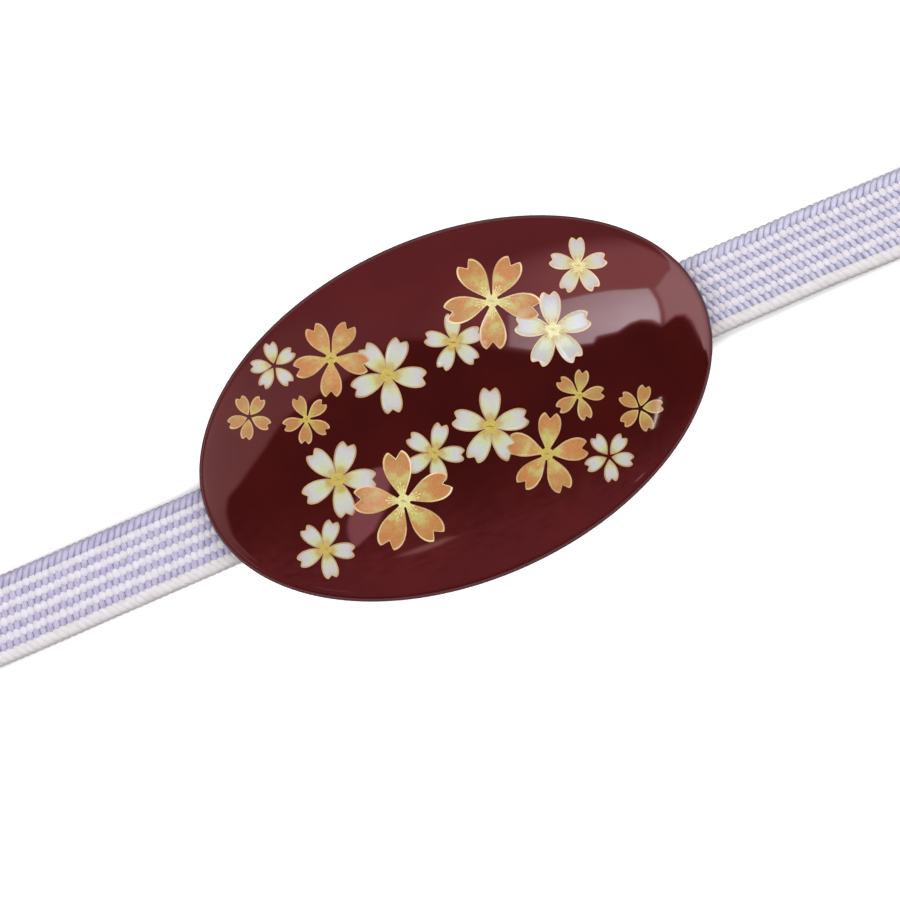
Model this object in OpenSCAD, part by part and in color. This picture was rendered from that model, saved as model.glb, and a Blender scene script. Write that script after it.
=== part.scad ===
// Lacquered oval sash clip, threaded on a flat braided cord
//
// All sizes are in millimetres. The clip lies as it does on a table: its long
// axis along X, its crown facing +Z, and the two loops of its fitting standing
// on the surface at Z = 0, below the middle of the oval.

/* [Lacquered oval] */
// Length of the oval
oval_length = 60; // [50:0.5:70]
// Width of the oval
oval_width = 38.4; // [32:0.2:46]
// Thickness from the flat back to the top of the crown
oval_thickness = 8; // [6:0.2:11]
// Radius of the round rim, across the oval
rim_radius = 1.2; // [0.8:0.1:1.8]

/* [Back fitting] */
// Length of the plate glued to the back
plate_length = 26; // [23:0.5:32]
// Width of the plate
plate_width = 15; // [14:0.5:20]
// Thickness of the plate
plate_thickness = 0.6; // [0.4:0.1:1.2]
// Radius of the plate's corners
plate_corner = 3; // [1:0.5:5]
// Distance between the middles of the two loops
loop_spacing = 16; // [13:0.5:19]
// Width of the strip that a loop is bent from
strip_width = 3; // [2:0.25:4]
// Thickness of that strip
strip_thickness = 0.8; // [0.5:0.1:1.2]
// Inner radius where the strip is bent
bend_radius = 0.6; // [0.3:0.1:0.9]

/* [Braided cord] */
// Width of the cord
cord_width = 9.2; // [8:0.1:10]
// Thickness of the cord
cord_thickness = 1.9; // [1.5:0.1:2.3]
// Number of ribs between the two edge ribs
inner_ribs = 8; // [4:1:12]
// Width of the rib along each edge
edge_rib = 1.45; // [1.2:0.05:2]
// Depth of the grooves between ribs
groove_depth = 0.16; // [0.05:0.01:0.25]
// Gap between the cord and a loop, at each edge
side_clearance = 0.5; // [0.4:0.05:0.8]
// Gap between the cord and a loop, above and below
face_clearance = 0.15; // [0.1:0.05:0.4]

/* [Hidden] */

// Fineness of the round shapes
$fn = 128;

// Heights that stack up from the surface
slot_width = cord_width + 2 * side_clearance;
slot_height = cord_thickness + 2 * face_clearance;
plate_underside = strip_thickness + slot_height;
oval_back = plate_underside + plate_thickness;

// The arc of the crown runs on smoothly into the arc of the rim
rim_middle = oval_width / 2 - rim_radius;
crown_rise = oval_thickness - 2 * rim_radius;
crown_radius = (rim_middle ^ 2 + oval_thickness * crown_rise) / (2 * crown_rise);
rim_angle = asin(rim_middle / (crown_radius - rim_radius));

// Middle of the cord, chosen by hand: distance along X, drift along Y, and the
// share of the lift that the loops give it. At 0 it lies on the surface.
cord_route = [
    [-60, -0.2, 0], [-52, -0.4, 0], [-44, -0.5, 0], [-38, -0.6, 0], [-32, -0.7, 0],
    [-28, -0.7, 0], [-25, -0.6, 0.1], [-22, -0.6, 0.35], [-19, -0.5, 0.65], [-16, -0.5, 0.9],
    [-13, -0.4, 1], [-9, -0.3, 1], [0, -0.2, 1], [9, -0.1, 1], [13, 0, 1],
    [16, 0, 0.9], [19, 0.1, 0.65], [22, 0.1, 0.35], [25, 0.2, 0.1], [28, 0.2, 0],
    [32, 0.2, 0], [38, 0.1, 0], [44, 0, 0], [52, -0.3, 0], [60, -0.5, 0]
];
cord_lift = strip_thickness + face_clearance;
last_point = len(cord_route) - 1;

// Where the ribs meet, across the cord from its lower edge to its upper one
inner_rib = (cord_width - 2 * edge_rib) / inner_ribs;
grooves = [for (i = [0:inner_ribs]) edge_rib - cord_width / 2 + i * inner_rib];

// A rib has a groove at its start and a flat crest over the middle of its width
crest_start = 0.3;
crest_end = 0.7;

// The cord's edges are half round
edge_radius = cord_thickness / 2;
edge_steps = 8;

// Each end of the cord is pressed and sewn flatter over a short length
sewn_length = 1.6;
sewn_width_share = 0.93;
sewn_thickness_share = 0.55;

// Half of the oval's cross-section, from the axis to the rim
module oval_half_section() {
    intersection() {
        translate([0, oval_thickness - crown_radius])
            circle(r = crown_radius);
        polygon([
            [0, 0],
            [rim_middle, 0],
            [rim_middle, rim_radius],
            [rim_middle, rim_radius] + 2 * rim_radius * [sin(rim_angle), cos(rim_angle)],
            [0, 2 * oval_thickness]
        ]);
    }
    translate([rim_middle, rim_radius])
        circle(r = rim_radius);
}

// Domed oval with a flat back, turned round in four quarters and drawn out lengthwise
module lacquered_oval() {
    color("#5c1519")
        translate([0, 0, oval_back])
            scale([oval_length / oval_width, 1, 1])
                for (quarter = [0:3])
                    rotate([0, 0, 90 * quarter])
                        rotate_extrude(angle = 90)
                            oval_half_section();
}

// Rectangle with round corners, centred
module rounded_rectangle(length, width, radius) {
    square([length - 2 * radius, width], center = true);
    square([length, width - 2 * radius], center = true);
    for (x = [-1, 1], y = [-1, 1])
        translate([x * (length / 2 - radius), y * (width / 2 - radius)])
            circle(r = radius);
}

// Trough with round lower corners: its floor on the first axis, open upwards
module trough(width, depth, radius) {
    translate([-width / 2, radius])
        square([width, depth - radius]);
    translate([radius - width / 2, 0])
        square([width - 2 * radius, 2 * radius]);
    for (side = [-1, 1])
        translate([side * (width / 2 - radius), radius])
            circle(r = radius);
}

// Strip bent to a U under the plate, which the cord passes through
module loop() {
    rotate([90, 0, 90])
        linear_extrude(height = strip_width, center = true)
            difference() {
                trough(slot_width + 2 * strip_thickness, plate_underside + plate_thickness / 2,
                       bend_radius + strip_thickness);
                translate([0, strip_thickness])
                    trough(slot_width, slot_height, bend_radius);
            }
}

// Plate with two loops soldered to it, one solid of metal
module back_fitting() {
    color("#c9b37a") {
        translate([0, 0, plate_underside])
            linear_extrude(height = plate_thickness)
                rounded_rectangle(plate_length, plate_width, plate_corner);
        for (side = [-1, 1])
            translate([side * loop_spacing / 2, 0, 0])
                loop();
    }
}

// Points of one edge of the cord, from its top to its underside
function edge_points() = [
    for (i = [0:edge_steps])
        let (angle = 90 - 180 * i / edge_steps)
        [cord_width / 2 - edge_radius * (1 - cos(angle)), edge_radius * sin(angle)]
];

// Points of the ribbed top, from one outer groove to the other
function top_points() = [
    for (i = [0:inner_ribs], share = i < inner_ribs ? [0, crest_start, crest_end] : [0])
        [grooves[i] + share * inner_rib, edge_radius - (share == 0 ? groove_depth : 0)]
];

// The whole cross-section, once round
function turned_over(points) = [for (p = points) -p];
cord_section = concat(
    top_points(), edge_points(), turned_over(top_points()), turned_over(edge_points())
);

// Rings of the sweep: the route's own points, with a flatter ring at each end
function unit(v) = v / norm(v);
function route_point(i) = [
    cord_route[i][0],
    cord_route[i][1],
    cord_thickness / 2 + cord_route[i][2] * cord_lift
];
function route_direction(i) =
    unit(route_point(min(i + 1, last_point)) - route_point(max(i - 1, 0)));

function ring(middle, direction, width_share, thickness_share) =
    let (
        across = unit(cross([0, 0, 1], direction)),
        up = cross(direction, across)
    )
    [for (p = cord_section) middle + p[0] * width_share * across + p[1] * thickness_share * up];

function plain_ring(i, shift) =
    ring(route_point(i) + shift * route_direction(i), route_direction(i), 1, 1);

function sewn_ring(i) =
    ring(
        route_point(i) - [0, 0, (1 - sewn_thickness_share) * edge_radius],
        route_direction(i), sewn_width_share, sewn_thickness_share
    );

cord_rings = concat(
    [sewn_ring(0)],
    [plain_ring(0, sewn_length)],
    [for (i = [1:last_point - 1]) plain_ring(i, 0)],
    [plain_ring(last_point, -sewn_length)],
    [sewn_ring(last_point)]
);

// Closed skin through rings that have the same number of points
module skin(rings) {
    count = len(rings[0]);
    last = len(rings) - 1;
    polyhedron(
        points = [for (r = rings, p = r) p],
        faces = concat(
            [[for (j = [0:count - 1]) j]],
            [for (i = [0:last - 1], j = [0:count - 1])
                let (next = (j + 1) % count)
                [i * count + j, (i + 1) * count + j, (i + 1) * count + next, i * count + next]],
            [[for (j = [count - 1:-1:0]) last * count + j]]
        )
    );
}

// Flat cord, which lies on the surface and is lifted through the loops
module braided_cord() {
    color("#cdc8e6")
        skin(cord_rings);
}

lacquered_oval();
back_fitting();
braided_cord();
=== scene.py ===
import math
import random

import bmesh
import bpy
from mathutils import Matrix, Vector
from mathutils.geometry import interpolate_bezier


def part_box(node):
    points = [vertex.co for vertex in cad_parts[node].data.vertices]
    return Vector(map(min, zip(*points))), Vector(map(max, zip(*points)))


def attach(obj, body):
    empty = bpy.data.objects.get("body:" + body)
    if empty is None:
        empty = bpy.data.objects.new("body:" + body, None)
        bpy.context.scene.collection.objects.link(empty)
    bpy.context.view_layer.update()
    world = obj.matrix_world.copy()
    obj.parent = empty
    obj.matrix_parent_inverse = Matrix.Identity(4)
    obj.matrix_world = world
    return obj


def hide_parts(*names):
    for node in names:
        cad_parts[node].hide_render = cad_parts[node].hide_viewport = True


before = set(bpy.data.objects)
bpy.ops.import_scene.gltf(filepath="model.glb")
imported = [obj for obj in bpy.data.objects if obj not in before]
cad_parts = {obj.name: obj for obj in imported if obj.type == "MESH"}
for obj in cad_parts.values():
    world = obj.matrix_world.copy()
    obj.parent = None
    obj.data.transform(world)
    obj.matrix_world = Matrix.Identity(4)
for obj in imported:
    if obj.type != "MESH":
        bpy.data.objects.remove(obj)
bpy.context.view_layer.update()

MM = 0.001
UP = Vector((0, 0, 1))
CRISP_ANGLE = math.radians(40)


# Colours, nodes and meshes

def linear(hex_colour, alpha=1.0):
    """An sRGB hex colour as Blender's linear one."""
    channels = [int(hex_colour[i:i + 2], 16) / 255 for i in (1, 3, 5)]
    turned = [c / 12.92 if c <= 0.04045 else ((c + 0.055) / 1.055) ** 2.4 for c in channels]
    return (*turned, alpha)


def add_node(material, kind, inputs=None, stops=None, **settings):
    """Adds a node with its settings; an input takes a value or another node's output."""
    made = material.node_tree.nodes.new("ShaderNode" + kind)
    for name, value in settings.items():
        setattr(made, name, value)
    for name, value in (inputs or {}).items():
        socket = made.inputs[name]
        if isinstance(value, bpy.types.NodeSocket):
            material.node_tree.links.new(value, socket)
        else:
            socket.default_value = value
    if stops:
        elements = made.color_ramp.elements
        while len(elements) < len(stops):
            elements.new(1.0)
        for element, (place, colour) in zip(elements, stops):
            element.position = place
            element.color = linear(colour) if isinstance(colour, str) else (colour,) * 3 + (1,)
    return made


def new_material(name, inputs):
    """A material with one Principled BSDF, and that node."""
    material = bpy.data.materials.new(name)
    material.use_nodes = True
    shader = material.node_tree.nodes["Principled BSDF"]
    for socket, value in inputs.items():
        shader.inputs[socket].default_value = value
    return material, shader


def join(material, output, socket):
    """Links an output to a socket."""
    material.node_tree.links.new(output, socket)


def mesh_piece(name, bm, materials, smooth=True):
    """Turns a bmesh into an object of the scene."""
    mesh = bpy.data.meshes.new(name)
    for face in bm.faces:
        face.smooth = smooth
    bm.to_mesh(mesh)
    bm.free()
    for material in materials:
        mesh.materials.append(material)
    piece = bpy.data.objects.new(name, mesh)
    bpy.context.scene.collection.objects.link(piece)
    return piece


def pattern_mesh(name, bm):
    """Keeps a bmesh as a pattern that stamp() copies."""
    mesh = bpy.data.meshes.new(name)
    bm.to_mesh(mesh)
    bm.free()
    return mesh


def stamp(bm, pattern, matrix):
    """Adds a copy of a pattern, placed by a matrix."""
    copy = pattern.copy()
    copy.transform(matrix)
    bm.from_mesh(copy)
    bpy.data.meshes.remove(copy)


def bevel(bm, edges, offset, segments):
    """Rounds some edges."""
    bmesh.ops.bevel(
        bm, geom=edges, offset=offset, segments=segments, profile=0.5, affect="EDGES", material=-1,
    )


def length_along_x(edge):
    """How far an edge goes along X."""
    return abs(edge.verts[0].co.x - edge.verts[1].co.x)


def close_downwards(bm, depth):
    """Gives flat faces a thickness below them, with crisp edges round the top."""
    made = bmesh.ops.extrude_face_region(bm, geom=bm.faces[:], use_keep_orig=True)
    lower = [item for item in made["geom"] if isinstance(item, bmesh.types.BMVert)]
    bmesh.ops.translate(bm, verts=lower, vec=(0, 0, -depth))
    bmesh.ops.recalc_face_normals(bm, faces=bm.faces[:])
    for edge in bm.edges:
        edge.smooth = edge.calc_face_angle(0.0) < CRISP_ANGLE


# Camera: straight above, turned so that the oval rises to the upper right

PICTURE_TURN = math.radians(24.4)
PICTURE_RIGHT = Vector((math.cos(PICTURE_TURN), -math.sin(PICTURE_TURN), 0))
PICTURE_UP = Vector((math.sin(PICTURE_TURN), math.cos(PICTURE_TURN), 0))
CAMERA_PLACE = Vector((-2.5, -3.93, 378.8)) * MM

camera_data = bpy.data.cameras.new("product_camera")
camera_data.lens = 135
camera_data.sensor_width = 36
camera_data.clip_start = 0.01
camera_data.clip_end = 20
camera = bpy.data.objects.new("product_camera", camera_data)
camera.location = CAMERA_PLACE
camera.rotation_euler = (0, 0, -PICTURE_TURN)
bpy.context.scene.collection.objects.link(camera)
bpy.context.scene.camera = camera
bpy.context.scene.view_settings.view_transform = "Standard"


# Silk of the cord

def silk(name, colour, shade):
    """Twisted filament silk, dyed and braided: a soft sheen over filaments that run along each stitch."""
    material, shader = new_material(name, {
        "Roughness": 0.5,
        "IOR": 1.54,
        "Specular IOR Level": 0.15,
        "Sheen Weight": 0.2,
        "Sheen Roughness": 0.35,
    })
    # A filament is 0.02 mm thick, too fine to show, so bundles of 0.1 mm are drawn, 20 round a stitch
    uv = add_node(material, "UVMap", uv_map="stitch")
    stretched = add_node(material, "Mapping", {"Vector": uv.outputs["UV"], "Scale": (20, 1.2, 1)})
    filaments = add_node(material, "TexNoise", {
        "Vector": stretched.outputs["Vector"], "Scale": 1.0, "Detail": 2.0,
    })
    # The dye takes a little unevenly, from one stitch of 0.8 mm to the next
    place = add_node(material, "TexCoord")
    dye = add_node(material, "TexNoise", {"Vector": place.outputs["Object"], "Scale": 1100.0, "Detail": 1.0})
    together = add_node(material, "Math", {
        0: filaments.outputs["Fac"], 1: dye.outputs["Fac"],
    }, operation="ADD")
    halved = add_node(material, "Math", {0: together.outputs["Value"], 1: 0.5}, operation="MULTIPLY")
    # The tint is lighter on raised filament bundles and darker between them, painted light and shade, and
    # varies where the dye took unevenly
    tint = add_node(material, "ValToRGB", {"Fac": halved.outputs["Value"]}, stops=[
        (0.34, shade), (0.56, colour),
    ])
    join(material, tint.outputs["Color"], shader.inputs["Base Color"])
    bump = add_node(material, "Bump", {
        "Strength": 0.6,
        "Distance": 0.03 * MM,
        "Height": filaments.outputs["Fac"],
    })
    join(material, bump.outputs["Normal"], shader.inputs["Normal"])
    return material


lavender_silk = silk("dyed_silk_lavender", "#d4d4e9", "#b5b4d0")
# A darker copy of the lavender silk for the left half of the cord: painted shade
lavender_silk_painted_shade = silk("dyed_silk_lavender_painted_shade", "#c6c2dc", "#a8a4c4")
white_silk = silk("bleached_silk_white", "#e6e3eb", "#d5d1db")
cream_silk = silk("bleached_silk_cream", "#e4e1e2", "#d4d0d2")
core_silk = silk("silk_core_in_shade", "#9a98b0", "#84829c")


# Cord: a flat braid in two halves, out of the two loops of the fitting

CORD_WIDTH = 9.2 * MM
CORD_THICKNESS = 1.9 * MM
CORD_LIFT = 0.95 * MM
CORD_REACH = 60 * MM
# From here to there the cord comes free of the loops and lies aside
FREE_FROM = 16 * MM
FREE_AT = 24 * MM

# The core is sunk under the stitches, and the rows of stitches stop short of the sewn end
CORE_WIDTH = CORD_WIDTH - 0.7 * MM
CORE_THICKNESS = CORD_THICKNESS - 0.5 * MM
CORE_RING = 1 * MM
INNER_RIBS = 8
EDGE_RIB = 1.45 * MM
STITCH_PITCH = 0.8 * MM
STITCHES = round(CORD_REACH / STITCH_PITCH)
STITCH_HALF_HEIGHT = 0.30 * MM
FIRST_STITCH = 0.7 * STITCH_PITCH
INNER_STITCHES_END = CORD_REACH - 1.4 * MM
EDGE_STITCHES_END = CORD_REACH - 1.9 * MM
UPPER_YARN_HALF_WIDTH = 0.42 * MM
LOWER_YARN_HALF_WIDTH = 0.62 * MM
EDGE_YARN_HALF_LENGTH = 1.68 * MM
EDGE_YARN_HALF_HEIGHT = 0.26 * MM
EDGE_YARN_SLANT = -30
# How full the end of an edge yarn stays, and how early it begins to taper
YARN_END_SHARE = 0.35
YARN_FULLNESS = 0.6

# The cut end is pressed flat and sewn round with a few turns of silk
SEWN_LENGTH = 1.6 * MM
SEWN_WIDTH_SHARE = 0.93
SEWN_THICKNESS_SHARE = 0.55
END_TURNS = 3
TURN_WIDTH = 0.5 * MM
TURN_INSET = 0.2 * MM
TURN_CORNER = 0.65 * MM

# Places in the cord's list of silks
LAVENDER, WHITE, CORE, CREAM = range(4)

# The middle of the cord as in the part's source: distance along X and drift along Y in millimetres, and
# the share of the lift that the loops give it
CORD_ROUTE = [
    (-60, -0.2, 0), (-52, -0.4, 0), (-44, -0.5, 0), (-38, -0.6, 0), (-32, -0.7, 0),
    (-28, -0.7, 0), (-25, -0.6, 0.1), (-22, -0.6, 0.35), (-19, -0.5, 0.65), (-16, -0.5, 0.9),
    (-13, -0.4, 1), (-9, -0.3, 1), (0, -0.2, 1), (9, -0.1, 1), (13, 0, 1),
    (16, 0, 0.9), (19, 0.1, 0.65), (22, 0.1, 0.35), (25, 0.2, 0.1), (28, 0.2, 0),
    (32, 0.2, 0), (38, 0.1, 0), (44, 0, 0), (52, -0.3, 0), (60, -0.5, 0),
]


def cord_middle(x):
    """Point on the cord's middle line at a distance along X, on one smooth curve through the route."""
    points = [
        Vector((px * MM, py * MM, CORD_THICKNESS / 2 + share * CORD_LIFT)) for px, py, share in CORD_ROUTE
    ]
    last = len(points) - 1
    i = next((i for i in range(last) if x <= points[i + 1].x), last - 1)
    before, start, end, after = (points[min(max(j, 0), last)] for j in (i - 1, i, i + 1, i + 2))
    span = end.x - start.x
    slope_start = (end - before) / (end.x - before.x)
    slope_end = (after - start) / (after.x - start.x)
    t = (x - start.x) / span
    return (
        start * (2 * t ** 3 - 3 * t ** 2 + 1) + slope_start * span * (t ** 3 - 2 * t ** 2 + t)
        + end * (3 * t ** 2 - 2 * t ** 3) + slope_end * span * (t ** 3 - t ** 2)
    )


def laid_on_route(x, across, height, aside, spread):
    """Lays a point of the straight cord on its route; clear of the loops it lies aside and spreads."""
    free = min(max((abs(x) - FREE_FROM) / (FREE_AT - FREE_FROM), 0), 1)
    across += free * (aside + min(across, 0) * spread)
    step = 0.05 * MM
    along = (cord_middle(x + step) - cord_middle(x - step)).normalized()
    side = UP.cross(along).normalized()
    up = along.cross(side)
    sewn = min(max((abs(x) - (CORD_REACH - SEWN_LENGTH)) / SEWN_LENGTH, 0), 1)
    width_share = 1 + (SEWN_WIDTH_SHARE - 1) * sewn
    thickness_share = 1 + (SEWN_THICKNESS_SHARE - 1) * sewn
    sunk = (1 - thickness_share) * CORD_THICKNESS / 2
    return cord_middle(x) + side * across * width_share + up * (height * thickness_share - sunk)


def inner_stitch(name, half_length, half_width, slant, material_index):
    """A bead of yarn between two grooves, lying at a slant to the cord."""
    bm = bmesh.new()
    bm.loops.layers.uv.new("stitch")
    bmesh.ops.create_uvsphere(bm, u_segments=8, v_segments=6, radius=1, calc_uvs=True)
    lie_down = Matrix.Rotation(math.radians(90), 4, "Y")
    shape = Matrix.Diagonal((half_length, half_width, STITCH_HALF_HEIGHT, 1))
    turn = Matrix.Rotation(math.radians(slant), 4, "Z")
    bmesh.ops.transform(bm, matrix=turn @ shape @ lie_down, verts=bm.verts[:])
    for face in bm.faces:
        face.material_index = material_index
    return pattern_mesh(name, bm)


def edge_stitch(name, yarn_half_width, material_index):
    """A yarn that wraps round the cord's half-round edge, from the top groove to the one below."""
    wrap_radius = CORD_THICKNESS / 2 - EDGE_YARN_HALF_HEIGHT
    quarter = wrap_radius * math.pi / 2
    edge_middle = CORD_WIDTH / 2 - CORD_THICKNESS / 2
    lean = math.tan(math.radians(EDGE_YARN_SLANT))
    bm = bmesh.new()
    bm.loops.layers.uv.new("stitch")
    bmesh.ops.create_uvsphere(bm, u_segments=8, v_segments=8, radius=1, calc_uvs=True)
    lie_down = Matrix.Rotation(math.radians(-90), 4, "X")
    shape = Matrix.Diagonal((yarn_half_width, EDGE_YARN_HALF_LENGTH, EDGE_YARN_HALF_HEIGHT, 1))
    bmesh.ops.transform(bm, matrix=shape @ lie_down, verts=bm.verts[:])
    for vert in bm.verts:
        x, along, out = vert.co
        # The ends stay fuller than an ellipsoid's
        share = min(abs(along) / EDGE_YARN_HALF_LENGTH, 1)
        fuller = 1 / max(math.sqrt(1 - share ** 2), YARN_END_SHARE) ** YARN_FULLNESS
        x = x * fuller + along * lean
        out *= fuller
        if abs(along) <= quarter:
            angle = along / wrap_radius
            across = edge_middle + (wrap_radius + out) * math.cos(angle)
            height = (wrap_radius + out) * math.sin(angle)
        else:
            across = edge_middle - (abs(along) - quarter)
            height = math.copysign(wrap_radius + out, along)
        vert.co = (x, across, height)
    bmesh.ops.recalc_face_normals(bm, faces=bm.faces[:])
    for face in bm.faces:
        face.material_index = material_index
    return pattern_mesh(name, bm)


def end_turn(name, material_index):
    """One turn of the silk that is sewn round the cut end."""
    bm = bmesh.new()
    bm.loops.layers.uv.new("stitch")
    shape = Matrix.Diagonal((TURN_WIDTH, CORD_WIDTH - TURN_INSET, CORD_THICKNESS - TURN_INSET, 1))
    bmesh.ops.create_cube(bm, size=1, matrix=shape, calc_uvs=True)
    corners = [edge for edge in bm.edges if length_along_x(edge) > TURN_WIDTH / 2]
    bevel(bm, corners, TURN_CORNER, segments=4)
    rims = [edge for edge in bm.edges if length_along_x(edge) < TURN_WIDTH / 2]
    bevel(bm, rims, TURN_WIDTH * 0.45, segments=3)
    for face in bm.faces:
        face.material_index = material_index
    return pattern_mesh(name, bm)


def core_band(bm, side):
    """The core that shows in the braid's grooves, cut in rings so that it can follow the route."""
    reach = CORD_REACH - TURN_WIDTH
    shape = Matrix.Diagonal((reach, CORE_WIDTH, CORE_THICKNESS, 1))
    bmesh.ops.create_cube(bm, size=1, matrix=Matrix.Translation((side * reach / 2, 0, 0)) @ shape)
    lengthwise = [edge for edge in bm.edges if length_along_x(edge) > reach / 2]
    bevel(bm, lengthwise, CORE_THICKNESS * 0.45, segments=4)
    for i in range(1, round(CORD_REACH / CORE_RING)):
        everything = bm.verts[:] + bm.edges[:] + bm.faces[:]
        place = (side * i * CORE_RING, 0, 0)
        bmesh.ops.bisect_plane(bm, geom=everything, plane_co=place, plane_no=(1, 0, 0))
    for face in bm.faces:
        under_lower_rib = face.calc_center_median().y < EDGE_RIB - CORD_WIDTH / 2
        face.material_index = WHITE if under_lower_rib else CORE


def inner_stitches(bm, side, lavender, white, hand):
    """Rows of stitches on both faces of the cord, each a little off as a braider's hand leaves it."""
    rib_width = (CORD_WIDTH - 2 * EDGE_RIB) / INNER_RIBS
    stitch_height = CORD_THICKNESS / 2 - STITCH_HALF_HEIGHT
    for rib in range(INNER_RIBS):
        across = CORD_WIDTH / 2 - EDGE_RIB - (rib + 0.5) * rib_width
        pattern = lavender if rib % 2 else white
        shift = STITCH_PITCH / 2 if rib % 2 else 0
        for i in range(-1, STITCHES):
            from_middle = i * STITCH_PITCH + FIRST_STITCH + shift
            if from_middle < 0 or from_middle > INNER_STITCHES_END:
                continue
            loose = Matrix.Rotation(math.radians(hand.uniform(-5, 5)), 4, "Z")
            size = Matrix.Scale(hand.uniform(0.95, 1.05), 4)
            for height in (stitch_height, -stitch_height):
                lie = Matrix.Translation((side * from_middle, across, height))
                stamp(bm, pattern, lie @ loose @ size)


def edge_stitches(bm, side):
    """The rows that wrap round the two edges."""
    upper = edge_stitch("upper_edge_stitch", UPPER_YARN_HALF_WIDTH, LAVENDER)
    lower = edge_stitch("lower_edge_stitch", LOWER_YARN_HALF_WIDTH, CREAM)
    for edge, pattern in ((1, upper), (-1, lower)):
        flip = Matrix.Scale(edge, 4, (0, 1, 0))
        for i in range(STITCHES):
            from_middle = (i + 0.5) * STITCH_PITCH
            if from_middle <= EDGE_STITCHES_END:
                stamp(bm, pattern, Matrix.Translation((side * from_middle, 0, 0)) @ flip)


def cord_half(name, side, lavender_yarn, slant, lavender_size, white_size, aside, spread):
    """One half of the cord: a core band under rows of lavender and white stitches, with a sewn end."""
    bm = bmesh.new()
    bm.loops.layers.uv.new("stitch")
    core_band(bm, side)
    lavender = inner_stitch("lavender_stitch", *lavender_size, slant, LAVENDER)
    white = inner_stitch("white_stitch", *white_size, slant, WHITE)
    inner_stitches(bm, side, lavender, white, random.Random(name))
    edge_stitches(bm, side)
    turn = end_turn("end_turn", WHITE)
    for i in range(END_TURNS):
        stamp(bm, turn, Matrix.Translation((side * (CORD_REACH - (i + 0.5) * TURN_WIDTH), 0, 0)))
    for vert in bm.verts:
        vert.co = laid_on_route(*vert.co, aside, spread)
    bmesh.ops.recalc_face_normals(bm, faces=bm.faces[:])
    piece = mesh_piece(name, bm, [lavender_yarn, white_silk, core_silk, cream_silk])
    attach(piece, "root")
    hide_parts("braided_cord")
    return piece


cord_half(
    "cord_right", side=1, lavender_yarn=lavender_silk, slant=-68,
    lavender_size=(0.60 * MM, 0.32 * MM), white_size=(0.54 * MM, 0.46 * MM),
    aside=-0.10 * MM, spread=0.05,
)
cord_half(
    "cord_left", side=-1, lavender_yarn=lavender_silk_painted_shade, slant=78,
    lavender_size=(0.62 * MM, 0.385 * MM), white_size=(0.54 * MM, 0.53 * MM),
    aside=-0.12 * MM, spread=0.08,
)


# Lacquered oval

def lacquer_finish():
    """Urushi lacquer, brushed on in coats and rubbed to a mirror: deep red under a faintly wavy gloss."""
    material, shader = new_material("urushi_lacquer_deep_red", {
        "Roughness": 0.5,
        "IOR": 1.5,
        "Specular IOR Level": 0.0,
        "Coat Weight": 1.0,
        "Coat Roughness": 0.05,
        "Coat IOR": 1.52,
    })
    place = add_node(material, "TexCoord")
    # Brushed coats pool in patches of about 8 mm
    patches = add_node(material, "TexNoise", {
        "Vector": place.outputs["Object"], "Scale": 120.0, "Detail": 3.0,
    })
    tint = add_node(material, "ValToRGB", {"Fac": patches.outputs["Fac"]}, stops=[
        (0.35, "#3c0f0f"), (0.65, "#451211"),
    ])
    join(material, tint.outputs["Color"], shader.inputs["Base Color"])
    # The rubbed surface is flat to about a micron over 6 mm
    waves = add_node(material, "TexNoise", {"Vector": place.outputs["Object"], "Scale": 160.0, "Detail": 1.0})
    bump = add_node(material, "Bump", {
        "Strength": 0.15, "Distance": 0.02 * MM, "Height": waves.outputs["Fac"],
    })
    join(material, bump.outputs["Normal"], shader.inputs["Coat Normal"])
    return material


lacquer = lacquer_finish()

oval_low, oval_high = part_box("lacquered_oval")
OVAL_LENGTH = oval_high.x - oval_low.x
OVAL_WIDTH = oval_high.y - oval_low.y
OVAL_THICKNESS = oval_high.z - oval_low.z
OVAL_BACK = oval_low.z
OVAL_STRETCH = OVAL_LENGTH / OVAL_WIDTH
RIM_RADIUS = 1.2 * MM
RIM_MIDDLE = OVAL_WIDTH / 2 - RIM_RADIUS
CROWN_RISE = OVAL_THICKNESS - 2 * RIM_RADIUS
CROWN_RADIUS = (RIM_MIDDLE ** 2 + OVAL_THICKNESS * CROWN_RISE) / (2 * CROWN_RISE)
RIM_ANGLE = math.asin(RIM_MIDDLE / (CROWN_RADIUS - RIM_RADIUS))


def lacquered_oval():
    """A domed oval with a flat back: its half section, spun round and drawn out lengthwise."""
    back_rings = 6
    rim_steps = 12
    crown_steps = 40
    turn_steps = 192
    bm = bmesh.new()
    start = bm.verts.new((0, 0, OVAL_BACK))
    for i in range(back_rings):
        outward = bmesh.ops.extrude_vert_indiv(bm, verts=[start])["verts"]
        bmesh.ops.translate(bm, verts=outward, vec=(RIM_MIDDLE / back_rings, 0, 0))
        start = outward[0]
    rim = bmesh.ops.spin(
        bm, geom=[start], cent=(RIM_MIDDLE, 0, OVAL_BACK + RIM_RADIUS), axis=(0, -1, 0),
        angle=math.pi - RIM_ANGLE, steps=rim_steps,
    )
    start = [item for item in rim["geom_last"] if isinstance(item, bmesh.types.BMVert)]
    bmesh.ops.spin(
        bm, geom=start, cent=(0, 0, OVAL_BACK + OVAL_THICKNESS - CROWN_RADIUS), axis=(0, -1, 0),
        angle=RIM_ANGLE, steps=crown_steps,
    )
    bmesh.ops.spin(
        bm, geom=bm.verts[:] + bm.edges[:], cent=(0, 0, 0), axis=(0, 0, 1), angle=2 * math.pi,
        steps=turn_steps, use_merge=True,
    )
    bmesh.ops.remove_doubles(bm, verts=bm.verts[:], dist=0.002 * MM)
    bmesh.ops.recalc_face_normals(bm, faces=bm.faces[:])
    bmesh.ops.scale(bm, vec=(OVAL_STRETCH, 1, 1), verts=bm.verts[:])
    piece = mesh_piece("lacquered_oval_body", bm, [lacquer])
    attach(piece, "root")
    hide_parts("lacquered_oval")
    return piece


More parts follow.
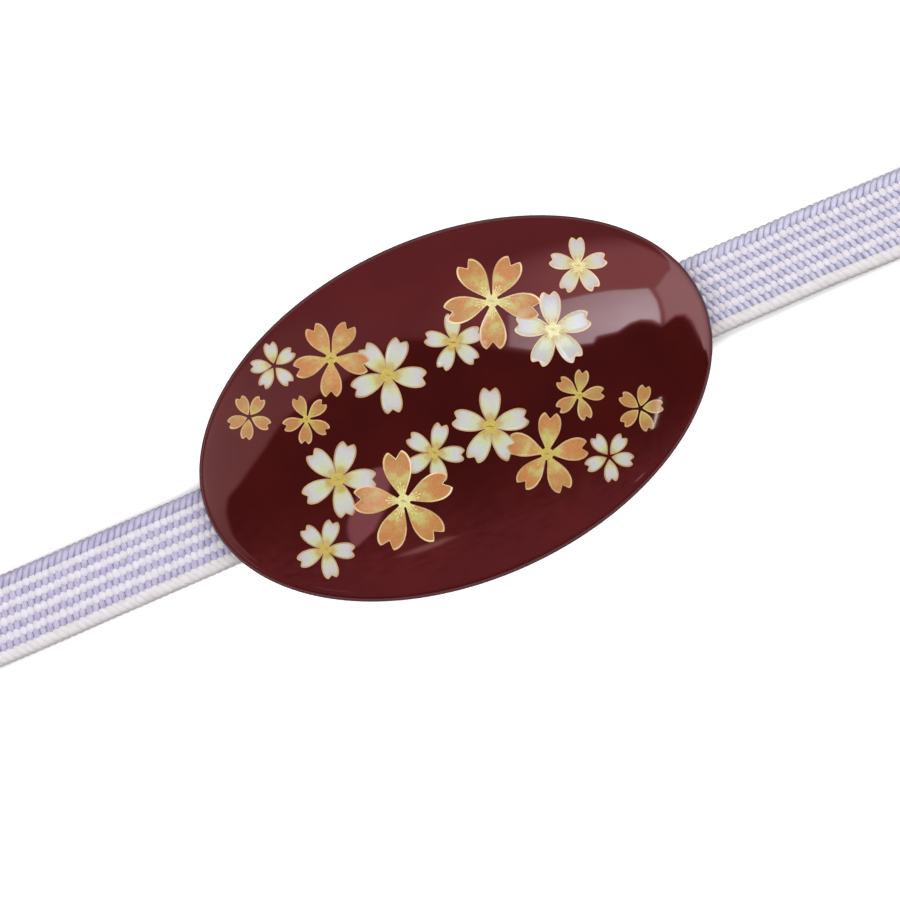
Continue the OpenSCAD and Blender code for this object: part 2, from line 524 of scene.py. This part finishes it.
def dome_height(x, y):
    """Height of the crown above the table."""
    reach = math.hypot(x / OVAL_STRETCH, y)
    return OVAL_BACK + OVAL_THICKNESS - CROWN_RADIUS + math.sqrt(CROWN_RADIUS ** 2 - reach ** 2)


lacquered_oval()


# Fitting: the CAD solid, plated

def plated_brass():
    """Stamped brass strip, pale gold plating: satin, with fine marks of the rolling along the strip."""
    material, shader = new_material("gold_plated_brass", {
        "Metallic": 1.0,
        "Roughness": 0.3,
    })
    place = add_node(material, "TexCoord")
    # Rolling marks are 0.05 mm apart, and drawn 0.15 mm apart so that they show
    stretched = add_node(material, "Mapping", {"Vector": place.outputs["Object"], "Scale": (6600, 700, 6600)})
    marks = add_node(material, "TexNoise", {
        "Vector": stretched.outputs["Vector"], "Scale": 1.0, "Detail": 3.0,
    })
    tint = add_node(material, "ValToRGB", {"Fac": marks.outputs["Fac"]}, stops=[
        (0.3, "#c8ad6e"), (0.7, "#e0c98e"),
    ])
    join(material, tint.outputs["Color"], shader.inputs["Base Color"])
    bump = add_node(material, "Bump", {
        "Strength": 0.3, "Distance": 0.01 * MM, "Height": marks.outputs["Fac"],
    })
    join(material, bump.outputs["Normal"], shader.inputs["Normal"])
    return material


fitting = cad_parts["back_fitting"]
fitting.data.materials.clear()
fitting.data.materials.append(plated_brass())


# Cherry blossoms, painted in enamel and gold under a clear coat, which takes the warm tint off the
# reflected room

UNDER_CLEAR_COAT = {
    "Roughness": 0.08,
    "IOR": 1.52,
    "Specular IOR Level": 0.6,
    "Specular Tint": linear("#bce6ff"),
}


def gold_powder(name, dark_grains, light_grains, grain):
    """Gold powder sprinkled on wet lacquer and sealed in: the eye sees its pale gold more than its metal."""
    material, shader = new_material(name, UNDER_CLEAR_COAT)
    place = add_node(material, "TexCoord")
    # Grains of 0.05 mm lie denser and thinner in turn; that unevenness is drawn, not the grains
    grains = add_node(material, "TexNoise", {
        "Vector": place.outputs["Object"], "Scale": 1 / grain, "Detail": 3.0,
    })
    tint = add_node(material, "ValToRGB", {"Fac": grains.outputs["Fac"]}, stops=[
        (0.35, dark_grains), (0.65, light_grains),
    ])
    join(material, tint.outputs["Color"], shader.inputs["Base Color"])
    return material


def petal_enamel(name, stops, unevenness, blotches, blotch_share, darkest_grain):
    """Enamel brushed from the base of a petal to its tip; the stops are shares of the blossom's radius."""
    material, shader = new_material(name, UNDER_CLEAR_COAT)
    # Brush marks are about 1.5 mm across; they shift the wash and leave blotches
    place = add_node(material, "TexCoord")
    brushed = add_node(material, "TexNoise", {
        "Vector": place.outputs["Object"], "Scale": 700.0, "Detail": 4.0, "Roughness": 0.55,
    })
    uv = add_node(material, "UVMap", uv_map="petal")
    along = add_node(material, "SeparateXYZ", {"Vector": uv.outputs["UV"]})
    centred = add_node(material, "Math", {0: brushed.outputs["Fac"], 1: 0.5}, operation="SUBTRACT")
    shifted = add_node(material, "Math", {
        0: centred.outputs["Value"], 1: unevenness, 2: along.outputs["X"],
    }, operation="MULTIPLY_ADD")
    wash = add_node(material, "ValToRGB", {"Fac": shifted.outputs["Value"]}, stops=stops)
    share = add_node(material, "ValToRGB", {"Fac": brushed.outputs["Fac"]}, stops=[
        (0.44, 0.0), (0.58, blotch_share),
    ])
    mixed = add_node(material, "MixRGB", {
        "Fac": share.outputs["Color"],
        "Color1": wash.outputs["Color"],
        "Color2": linear(blotches),
    })
    # Gold grains of 0.05 mm in the enamel, drawn at 0.2 mm
    grains = add_node(material, "TexNoise", {
        "Vector": place.outputs["Object"], "Scale": 5000.0, "Detail": 1.0,
    })
    speckle = add_node(material, "ValToRGB", {"Fac": grains.outputs["Fac"]}, stops=[
        (0.3, darkest_grain), (0.62, 1.0),
    ])
    grained = add_node(material, "MixRGB", {
        "Fac": 1.0, "Color1": mixed.outputs["Color"], "Color2": speckle.outputs["Color"],
    }, blend_type="MULTIPLY")
    join(material, grained.outputs["Color"], shader.inputs["Base Color"])
    return material


# The paler gold of some lines and hearts is a painted highlight, where light falls on them
thin_line = gold_powder("thin_gold_line_under_lacquer", "#b08c5e", "#ccac7e", grain=2.5 * MM)
thin_line_painted_highlight = gold_powder("thin_gold_line_painted_highlight_under_lacquer", "#cfae80", "#f0d6a8", grain=2.5 * MM)
plain_line = gold_powder("gold_line_under_lacquer", "#b9905e", "#dab888", grain=2.5 * MM)
gold_line_painted_highlight = gold_powder("gold_line_painted_highlight_under_lacquer", "#c49a62", "#f8e0b0", grain=4 * MM)
plain_heart = gold_powder("gold_powder_under_lacquer", "#c0a650", "#d6c06c", grain=0.15 * MM)
heart_painted_highlight = gold_powder("gold_powder_painted_highlight_under_lacquer", "#d8cf84", "#f0eaac", grain=0.15 * MM)
white_enamel = petal_enamel(
    "white_enamel_under_lacquer",
    [
        (0.15, "#bba056"), (0.25, "#bfab62"), (0.39, "#cacb94"),
        (0.57, "#c9cdb8"), (0.78, "#c8c5c5"), (0.97, "#c0b090"),
    ],
    unevenness=0.3, blotches="#cbcad4", blotch_share=0.3, darkest_grain=0.93,
)
peach_enamel = petal_enamel(
    "peach_enamel_under_lacquer",
    [(0.17, "#c9c274"), (0.39, "#c9be75"), (0.61, "#c29b5e"), (0.85, "#bb874e")],
    unevenness=0.6, blotches="#cc8452", blotch_share=0.7, darkest_grain=0.85,
)
deep_peach_enamel = petal_enamel(
    "deep_peach_enamel_under_lacquer",
    [(0.17, "#c0b15a"), (0.39, "#b8a35c"), (0.61, "#b68e55"), (0.85, "#b28a51")],
    unevenness=0.6, blotches="#c37f4f", blotch_share=0.7, darkest_grain=0.85,
)

# Half a petal as three curves, base, side and tip: shares of the blossom's radius along and across
WHITE_PETAL = [
    ((0.05, 0.036), (0.20, 0.15), (0.42, 0.28), (0.70, 0.28)),
    ((0.70, 0.28), (0.84, 0.28), (0.97, 0.23), (1.0, 0.15)),
    ((1.0, 0.15), (0.99, 0.09), (0.94, 0.06), (0.905, 0.0)),
]
PEACH_PETAL = [
    ((0.06, 0.03), (0.28, 0.11), (0.45, 0.28), (0.72, 0.28)),
    ((0.72, 0.28), (0.86, 0.28), (0.97, 0.22), (1.0, 0.14)),
    ((1.0, 0.14), (0.97, 0.09), (0.90, 0.05), (0.85, 0.0)),
]
APART_PETAL = [
    ((0.10, 0.0), (0.20, 0.10), (0.42, 0.29), (0.68, 0.29)),
    ((0.68, 0.29), (0.84, 0.29), (0.96, 0.24), (1.0, 0.15)),
    ((1.0, 0.15), (0.985, 0.09), (0.92, 0.06), (0.88, 0.0)),
]
# How finely the three curves are drawn
CURVE_STEPS = (8, 7, 5)
# The middle and half size of a petal's field, and how much the enamel narrows where it sinks
PETAL_MIDDLE = 0.55
FIELD_HALF_LENGTH = 0.47
FIELD_HALF_WIDTH = 0.3
SUNK_SHARE = 0.985

# The chart of blossoms on the dome: millimetres from the oval's middle, radius, and the
# directions of the petals in degrees from the oval's long axis
WHITE_BLOSSOMS = [
    (-5.3, 6.3, 4.2, (45, 107, 180, 254, 331)),
    (2.7, 6.6, 3.2, (357, 69, 146, 222, 296)),
    (-15.0, -1.8, 4.2, (336, 49, 111, 185, 259)),
    (-4.2, -3.5, 3.3, (50, 123, 188, 258, 332)),
    (2.6, -3.4, 4.2, (351, 67, 143, 218, 281)),
    (-19.5, -8.2, 3.3, (49, 111, 183, 259, 332)),
]
# White blossoms whose gold lines and hearts carry a painted highlight
WHITE_BLOSSOMS_PAINTED_HIGHLIGHT = [
    (18.7, 8.7, 3.2, (351, 69, 143, 216, 282)),
    (13.2, 3.4, 4.2, (354, 72, 148, 221, 285)),
]
WHITE_APART_BLOSSOMS = [
    (-16.3, 12.5, 2.7, (14, 79, 157, 217, 289)),
    (13.1, -11.8, 2.8, (30, 103, 181, 254, 326)),
]
# Peach blossoms whose gold lines and hearts carry a painted highlight
PEACH_BLOSSOMS_PAINTED_HIGHLIGHT = [
    (8.4, 9.0, 5.3, (38, 102, 171, 247, 327)),
    (-9.4, -6.9, 5.5, (359, 76, 154, 226, 290)),
]
PEACH_BLOSSOMS = [
    (-10.2, 10.6, 4.25, (37, 98, 174, 246, 324)),
    (7.0, -8.7, 4.5, (345, 61, 137, 207, 272)),
]
SMALL_PEACH_BLOSSOMS = [
    (-15.4, 5.6, 2.7, (20, 91, 173, 242, 307)),
    (12.8, -4.3, 2.8, (342, 57, 119, 190, 265)),
]
PEACH_APART_BLOSSOMS = [
    (-21.1, 8.5, 2.5, (32, 94, 175, 237, 312)),
    (18.4, -8.4, 2.6, (343, 52, 122, 197, 270)),
]

GOLD_LINE = 0.16 * MM
LINE_RELIEF = 0.012 * MM
PAINT_DEPTH = 0.1 * MM
PAINT_CELL = 0.6 * MM
WHITE_RISE = 0.03 * MM
PEACH_RISE = 0.05 * MM
STAMEN_RISE = 0.07 * MM

# Rays to each petal: degrees from its middle, and length as a share of the blossom's radius
STAMEN_RAYS = [(-19, 0.22), (-10, 0.30), (0, 0.35), (10, 0.30), (19, 0.22)]
RAY_HALF_BASE = 0.09 * MM
RAY_HALF_TIP = 0.03 * MM
# The plain gold heart, and the one with a painted highlight
HEARTS = [plain_heart, heart_painted_highlight]
PLAIN, HEART_PAINTED_HIGHLIGHT = range(2)


def half_outline(curves):
    """Points up one side of a petal, from its base to its notch."""
    points = []
    for curve, steps in zip(curves, CURVE_STEPS):
        knots = [Vector((*point, 0)) for point in curve]
        points += interpolate_bezier(*knots, steps)[:-1]
    return points + [Vector((*curves[-1][-1], 0))]


def cut_in_cells(bm):
    """Cuts flat faces in cells, so that they can follow the dome."""
    for normal in (Vector((1, 0, 0)), Vector((0, 1, 0))):
        reach = [vert.co.dot(normal) for vert in bm.verts]
        for i in range(math.ceil(min(reach) / PAINT_CELL), math.floor(max(reach) / PAINT_CELL) + 1):
            everything = bm.verts[:] + bm.edges[:] + bm.faces[:]
            place = normal * i * PAINT_CELL
            bmesh.ops.bisect_plane(bm, geom=everything, plane_co=place, plane_no=normal, dist=1e-7)


def petal(curves, radius, rise, enamel_index):
    """One petal along X: a gold line, the next material, round a sunk field of enamel."""
    bm = bmesh.new()
    side = half_outline(curves)
    other_side = [Vector((p.x, -p.y, 0)) for p in reversed(side) if p.y > 1e-6]
    corners = [bm.verts.new(p * radius + UP * rise) for p in side + other_side]
    field = bm.faces.new(corners)
    field.material_index = enamel_index
    middle = Matrix.Translation((PETAL_MIDDLE * radius, 0, rise))
    line = GOLD_LINE / radius
    narrowed = Matrix.Diagonal((1 - line / FIELD_HALF_LENGTH, 1 - line / FIELD_HALF_WIDTH, 1, 1))
    sunk = Matrix.Translation((0, 0, -LINE_RELIEF)) @ Matrix.Scale(SUNK_SHARE, 4)
    for shape in (narrowed, sunk):
        ring = bmesh.ops.inset_region(bm, faces=[field], thickness=0, use_boundary=True)
        for face in ring["faces"]:
            face.material_index = enamel_index + 1
        bmesh.ops.transform(bm, matrix=middle @ shape @ middle.inverted(), verts=field.verts[:])
    cut_in_cells(bm)
    close_downwards(bm, PAINT_DEPTH)
    layer = bm.loops.layers.uv.new("petal")
    for face in bm.faces:
        for loop in face.loops:
            loop[layer].uv = (loop.vert.co.x / radius, loop.vert.co.y / radius)
    return pattern_mesh("petal", bm)


def stamens(radius, turns, heart_share, dot_share, heart_index):
    """A gold heart with rays that end in dots, five to a petal."""
    bm = bmesh.new()
    bmesh.ops.create_circle(bm, cap_ends=True, segments=20, radius=heart_share * radius)
    for turn in turns:
        for spread, length in STAMEN_RAYS:
            end = length * radius
            around = Matrix.Rotation(math.radians(turn + spread), 4, "Z")
            ray = [(0, RAY_HALF_BASE), (0, -RAY_HALF_BASE), (end, -RAY_HALF_TIP), (end, RAY_HALF_TIP)]
            bm.faces.new([bm.verts.new(around @ Vector((*p, 0))) for p in ray])
            dot = around @ Matrix.Translation((end, 0, 0))
            bmesh.ops.create_circle(bm, cap_ends=True, segments=8, radius=dot_share * radius, matrix=dot)
    for face in bm.faces:
        face.material_index = heart_index
    cut_in_cells(bm)
    bmesh.ops.translate(bm, verts=bm.verts[:], vec=(0, 0, STAMEN_RISE))
    close_downwards(bm, PAINT_DEPTH)
    return pattern_mesh("stamens", bm)


def draped(bm):
    """Lets flat work follow the dome."""
    for vert in bm.verts:
        vert.co.z += dome_height(vert.co.x, vert.co.y)


def blossoms(name, groups, rise):
    """All the petals of one colour, as one piece."""
    bm = bmesh.new()
    bm.loops.layers.uv.new("petal")
    materials = []
    for chart, curves, enamel, line in groups:
        for x, y, radius, turns in chart:
            pattern = petal(curves, radius * MM, rise, len(materials))
            for turn in turns:
                around = Matrix.Rotation(math.radians(turn), 4, "Z")
                stamp(bm, pattern, Matrix.Translation((x * MM, y * MM, 0)) @ around)
        materials += [enamel, line]
    draped(bm)
    piece = mesh_piece(name, bm, materials)
    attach(piece, "root")
    return piece


def blossom_hearts():
    """The gold hearts and stamens of the blossoms whose petals join."""
    bm = bmesh.new()
    for chart, heart_share, dot_share, heart_index in (
        (WHITE_BLOSSOMS, 0.17, 0.014, PLAIN),
        (WHITE_BLOSSOMS_PAINTED_HIGHLIGHT, 0.16, 0.014, HEART_PAINTED_HIGHLIGHT),
        (PEACH_BLOSSOMS + SMALL_PEACH_BLOSSOMS, 0.15, 0.020, PLAIN),
        (PEACH_BLOSSOMS_PAINTED_HIGHLIGHT, 0.13, 0.018, HEART_PAINTED_HIGHLIGHT),
    ):
        for x, y, radius, turns in chart:
            pattern = stamens(radius * MM, turns, heart_share, dot_share, heart_index)
            stamp(bm, pattern, Matrix.Translation((x * MM, y * MM, 0)))
    draped(bm)
    piece = mesh_piece("gold_blossom_hearts", bm, HEARTS)
    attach(piece, "root")
    return piece


blossoms("white_blossoms", [
    (WHITE_BLOSSOMS, WHITE_PETAL, white_enamel, thin_line),
    (WHITE_BLOSSOMS_PAINTED_HIGHLIGHT, WHITE_PETAL, white_enamel, thin_line_painted_highlight),
    (WHITE_APART_BLOSSOMS, APART_PETAL, white_enamel, thin_line),
], WHITE_RISE)
blossoms("peach_blossoms", [
    (PEACH_BLOSSOMS_PAINTED_HIGHLIGHT, PEACH_PETAL, peach_enamel, gold_line_painted_highlight),
    (PEACH_BLOSSOMS, PEACH_PETAL, peach_enamel, plain_line),
    (SMALL_PEACH_BLOSSOMS, PEACH_PETAL, deep_peach_enamel, plain_line),
    (PEACH_APART_BLOSSOMS, APART_PETAL, deep_peach_enamel, plain_line),
], PEACH_RISE)
blossom_hearts()


# Table and light

# The shaded strip of the table lies a little to the near side of the cord
TABLE_DROP = 0.02 * MM
TABLE_GLOW = 0.6
SHADED_GLOW = 0.05
SHADE_SHIFT = 0.6 * MM
SHADE_HALF_WIDTH = 4.6 * MM
SHADE_FADE = 1.1 * MM


def table_top():
    """A white light table, dimmer under the cord so that the cord's contact shadow shows."""
    material, shader = new_material("white_light_table", {
        "Base Color": linear("#f4f4f4"),
        "Roughness": 0.9,
        "Specular IOR Level": 0.1,
        "Emission Color": (1, 1, 1, 1),
    })
    place = add_node(material, "TexCoord")
    moved = add_node(material, "Mapping", {
        "Vector": place.outputs["Object"], "Location": (0, SHADE_SHIFT, 0),
    })
    from_cord = add_node(material, "SeparateXYZ", {"Vector": moved.outputs["Vector"]})
    beside = add_node(material, "Math", {0: from_cord.outputs["Y"]}, operation="ABSOLUTE")
    beyond = add_node(material, "Math", {0: from_cord.outputs["X"]}, operation="ABSOLUTE")
    side_level = add_node(material, "MapRange", {
        "Value": beside.outputs["Value"],
        "From Min": SHADE_HALF_WIDTH, "From Max": SHADE_HALF_WIDTH + SHADE_FADE,
        "To Min": SHADED_GLOW, "To Max": TABLE_GLOW,
    })
    end_level = add_node(material, "MapRange", {
        "Value": beyond.outputs["Value"],
        "From Min": CORD_REACH, "From Max": CORD_REACH + SHADE_FADE,
        "To Min": SHADED_GLOW, "To Max": TABLE_GLOW,
    })
    level = add_node(material, "Math", {
        0: side_level.outputs["Result"], 1: end_level.outputs["Result"],
    }, operation="MAXIMUM")
    join(material, level.outputs["Value"], shader.inputs["Emission Strength"])
    bm = bmesh.new()
    below = Matrix.Translation((0, 0, -TABLE_DROP))
    bmesh.ops.create_grid(bm, x_segments=1, y_segments=1, size=4, matrix=below)
    floor = mesh_piece("light_table", bm, [material])
    floor.visible_glossy = False
    floor.visible_diffuse = False
    return floor


def soft_light(name, place, size, power):
    """A soft box that lights the object and isn't seen in the lacquer."""
    data = bpy.data.lights.new(name, "AREA")
    data.shape = "SQUARE"
    data.size = size
    data.energy = power
    light = bpy.data.objects.new(name, data)
    light.location = place
    light.rotation_euler = (-Vector(place)).to_track_quat("-Z", "Y").to_euler()
    light.visible_glossy = False
    bpy.context.scene.collection.objects.link(light)
    return light


# Heights in millimetres; cards that overlap hang one under the other, the nearest lowest
CARD_HEIGHT = 500
WALL_HEIGHT = 498
NEAR_HEIGHT = 496
WINDOW_HEIGHT = 494
TABLE_DEPTH = -60


def glow(name, brightness, near, far=None, middle=None, reach=None, fades=False, haze=(11.0, 0.3)):
    """The light of a card, clear at its rim; round a middle it can go to a far colour, or fade away."""
    material = bpy.data.materials.new(name)
    material.use_nodes = True
    material.node_tree.nodes.clear()
    rim = add_node(material, "Attribute", attribute_name="presence")
    presence = rim.outputs["Fac"]
    light = add_node(material, "Emission", {"Color": linear(near), "Strength": brightness})
    if middle:
        place = add_node(material, "TexCoord")
        centred = add_node(material, "Mapping", {
            "Vector": place.outputs["Object"],
            "Location": (PICTURE_RIGHT * middle[0] + PICTURE_UP * middle[1] + UP * CARD_HEIGHT) * MM,
            "Rotation": (0, 0, -PICTURE_TURN),
            "Scale": (reach[0] * MM, reach[1] * MM, 10),
        }, vector_type="TEXTURE")
        falloff = add_node(material, "TexGradient", {
            "Vector": centred.outputs["Vector"],
        }, gradient_type="SPHERICAL")
        cloud_scale, cloud_depth = haze
        cloud = add_node(material, "TexNoise", {
            "Vector": place.outputs["Object"], "Scale": cloud_scale, "Detail": 3.0,
        })
        lighter = add_node(material, "Math", {0: cloud.outputs["Fac"], 1: 0.5}, operation="SUBTRACT")
        mottled = add_node(material, "Math", {
            0: lighter.outputs["Value"], 1: cloud_depth, 2: falloff.outputs["Fac"],
        }, operation="MULTIPLY_ADD")
        colours = add_node(material, "ValToRGB", {"Fac": mottled.outputs["Value"]}, stops=[
            (0.0, far or near), (0.85, near),
        ])
        join(material, colours.outputs["Color"], light.inputs["Color"])
        if fades:
            eased = add_node(material, "MapRange", {
                "Value": falloff.outputs["Fac"], "From Max": 0.6,
            }, interpolation_type="SMOOTHSTEP")
            both = add_node(material, "Math", {0: presence, 1: eased.outputs["Result"]}, operation="MULTIPLY")
            presence = both.outputs["Value"]
    clear = add_node(material, "BsdfTransparent")
    shown = add_node(material, "MixShader", {
        0: presence, 1: clear.outputs["BSDF"], 2: light.outputs["Emission"],
    })
    output = add_node(material, "OutputMaterial")
    join(material, shown.outputs["Shader"], output.inputs["Surface"])
    return material


def reflected_card(name, outline, height, softness, light):
    """Part of the room that the lacquer reflects; its outline is in millimetres to the right and up."""
    bm = bmesh.new()
    shown = bm.faces.new([
        bm.verts.new((PICTURE_RIGHT * right + PICTURE_UP * up + UP * height) * MM) for right, up in outline
    ])
    bm.normal_update()
    bmesh.ops.inset_region(
        bm, faces=[shown], thickness=softness * MM, use_boundary=True, use_even_offset=True,
    )
    presence = bm.verts.layers.float.new("presence")
    for vert in bm.verts:
        vert[presence] = 0.0 if vert.is_boundary else 1.0
    card = mesh_piece(name, bm, [light], smooth=False)
    card.visible_camera = False
    card.visible_diffuse = False
    card.visible_shadow = False
    card.visible_transmission = False
    return card


BRIGHT_ROOM = [
    (-12000, -12000), (-900, -2500), (-520, -1000), (-428, -565), (-500, -380), (-531, -230), (-526, -165),
    (-478, -105), (-417, 15), (-388, 113), (-312, 172), (-255, 202), (-175, 293), (-64, 229), (53, 155),
    (104, 125), (246, 112), (250, 136), (300, 142), (334, 170), (362, 179), (398, 172), (444, 146),
    (468, 166), (497, 188), (536, 189), (570, 159), (615, 95), (650, 54), (750, 8), (12000, -1600),
    (12000, 12000), (-12000, 12000),
]
WINDOW = [
    (57, 166), (107, 136), (242, 122), (245, 146), (297, 152), (330, 180), (362, 190), (402, 183),
    (438, 160), (430, 213), (417, 270), (392, 332), (384, 342), (327, 338), (271, 340), (209, 332),
    (149, 320), (75, 311), (35, 292),
]
WALL_BESIDE = [
    (450, 160), (466, 177), (494, 199), (539, 200), (579, 166), (625, 101), (658, 64), (750, 20),
    (12000, -1000), (12000, 18000), (545, 560), (510, 492), (459, 432), (419, 358), (404, 342), (429, 270),
    (442, 213),
]
LOW_WINDOW = [
    (-120, -128), (-90, -130), (-70, -160), (-70, -214), (-66, -307), (-77, -395), (-112, -480),
    (-131, -462), (-146, -375), (-148, -320), (-140, -240), (-128, -182),
]
LOW_STREAK = [(-40, -638), (-12, -582), (42, -546), (95, -520), (150, -542), (105, -590), (50, -618)]
LOW_LINE = [(-240, -838), (-180, -918), (-116, -970), (-124, -986), (-188, -936), (-248, -852)]
SIDE_STREAK = [
    (528, -150), (540, -150), (560, -205), (580, -250), (602, -310), (590, -310), (566, -250), (546, -205),
]
CORNER_STREAK = [(795, -725), (815, -728), (828, -675), (808, -672)]
NEAR_WALL = [(-12000, -180), (12000, -180), (12000, -12000), (-12000, -12000)]
TABLE = [(-6000, -6000), (6000, -6000), (6000, 6000), (-6000, 6000)]

table_top()
overhead = PICTURE_UP * 0.05 - PICTURE_RIGHT * 0.03 + UP * 0.62
soft_light("overhead_soft_box", overhead, size=0.9, power=4.9)

# Each card: its outline, height and soft rim, and its light with a brightness and one or two colours
reflected_card("bright_room", BRIGHT_ROOM, CARD_HEIGHT, softness=22, light=glow(
    "room_light", 1.08, "#ff7c8a",
))
reflected_card("left_wall", BRIGHT_ROOM, WALL_HEIGHT, softness=22, light=glow(
    "left_wall_light", 2.5, "#ffb2b4", "#c07a7c", middle=(-1300, -400), reach=(1500, 1600), fades=True,
))
reflected_card("wall_over_window", BRIGHT_ROOM, NEAR_HEIGHT, softness=8, light=glow(
    "wall_over_window_light", 2.9, "#ff999f", middle=(400, 420), reach=(600, 400), fades=True,
))
reflected_card("near_wall", NEAR_WALL, NEAR_HEIGHT, softness=400, light=glow(
    "near_wall_light", 1.12, "#ff7480", "#8c2e34", middle=(300, -1100), reach=(2500, 1300), haze=(26.0, 2.2),
))
reflected_card("window", WINDOW, WINDOW_HEIGHT, softness=6, light=glow(
    "window_light", 8.2, "#ffe2ea", "#ab8184", middle=(400, 190), reach=(420, 300),
))
reflected_card("wall_beside", WALL_BESIDE, WINDOW_HEIGHT, softness=8, light=glow(
    "wall_beside_light", 4.6, "#ffbcbf", "#d2a0aa", middle=(560, 200), reach=(900, 1100),
))
reflected_card("low_window", LOW_WINDOW, WINDOW_HEIGHT, softness=8, light=glow(
    "low_window_light", 3.1, "#ff9fae",
))
reflected_card("low_streak", LOW_STREAK, WINDOW_HEIGHT, softness=26, light=glow(
    "low_streak_light", 2.9, "#ffacaa", middle=(66, -566), reach=(125, 66), fades=True,
))
reflected_card("low_line", LOW_LINE, WINDOW_HEIGHT, softness=4, light=glow("low_line_light", 3.0, "#ffb0b8"))
reflected_card("side_streak", SIDE_STREAK, WINDOW_HEIGHT, softness=2, light=glow(
    "side_streak_light", 14.0, "#ffe6da",
))
reflected_card("corner_streak", CORNER_STREAK, WINDOW_HEIGHT, softness=4, light=glow(
    "corner_streak_light", 7.0, "#ffb0b8",
))
# The table seen in the rim is dark near the oval, a painted shadow, and pale further out
reflected_card("table_in_the_rim", TABLE, TABLE_DEPTH, softness=10, light=glow(
    "table_light_with_painted_shadow", 1.35, "#401418", "#ffbcc0", middle=(0, 0), reach=(250, 250),
))

world = bpy.data.worlds.new("soft_surround")
bpy.context.scene.world = world
world.use_nodes = True
world.node_tree.nodes["Background"].inputs["Color"].default_value = (1, 1, 1, 1)
world.node_tree.nodes["Background"].inputs["Strength"].default_value = 0.35
world.cycles_visibility.glossy = False
world.cycles_visibility.camera = False
